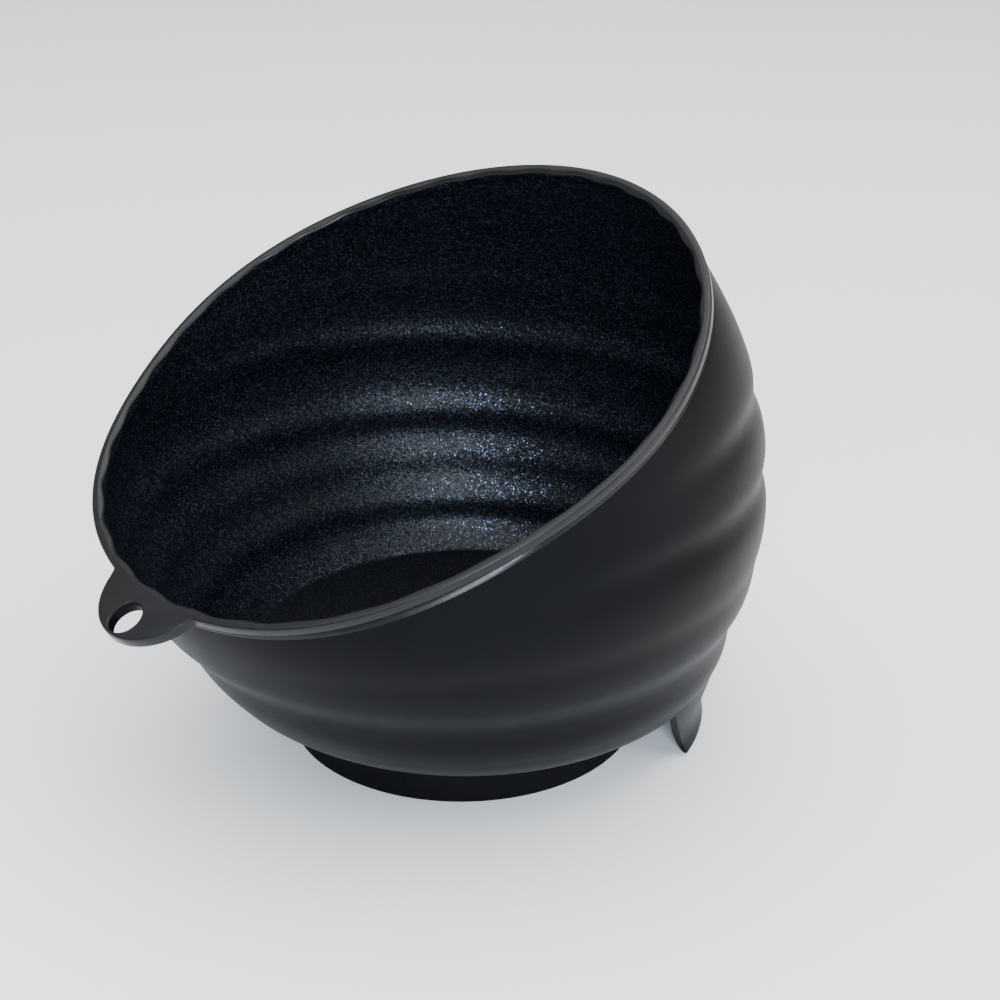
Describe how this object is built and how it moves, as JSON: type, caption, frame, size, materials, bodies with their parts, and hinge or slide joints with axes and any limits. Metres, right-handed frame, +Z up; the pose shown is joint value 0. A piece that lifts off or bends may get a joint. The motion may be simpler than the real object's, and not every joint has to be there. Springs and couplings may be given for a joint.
{
  "type": "hair color bowl",
  "caption": "Black hair color mixing bowl with a slanted mouth, ringed wall, hanging tab at the low front, rear heel and a round non-slip rubber base.",
  "frame": {"origin": "centre of the rubber base's underside, on the table", "axes": "+Z up, -Y towards the low front with the hanging tab, +Y towards the tall back, X = 0 is the mirror plane"},
  "size_m": [0.149, 0.1585, 0.1245],
  "materials": {
    "bowl_plastic": "black satin polypropylene, fine sparkle grain inside, plain satin outside",
    "base_rubber": "black matt rubber"
  },
  "bodies": {
    "root": {"bowl_body": "bowl_plastic", "rubber_base": "base_rubber"}
  },
  "joints": []
}
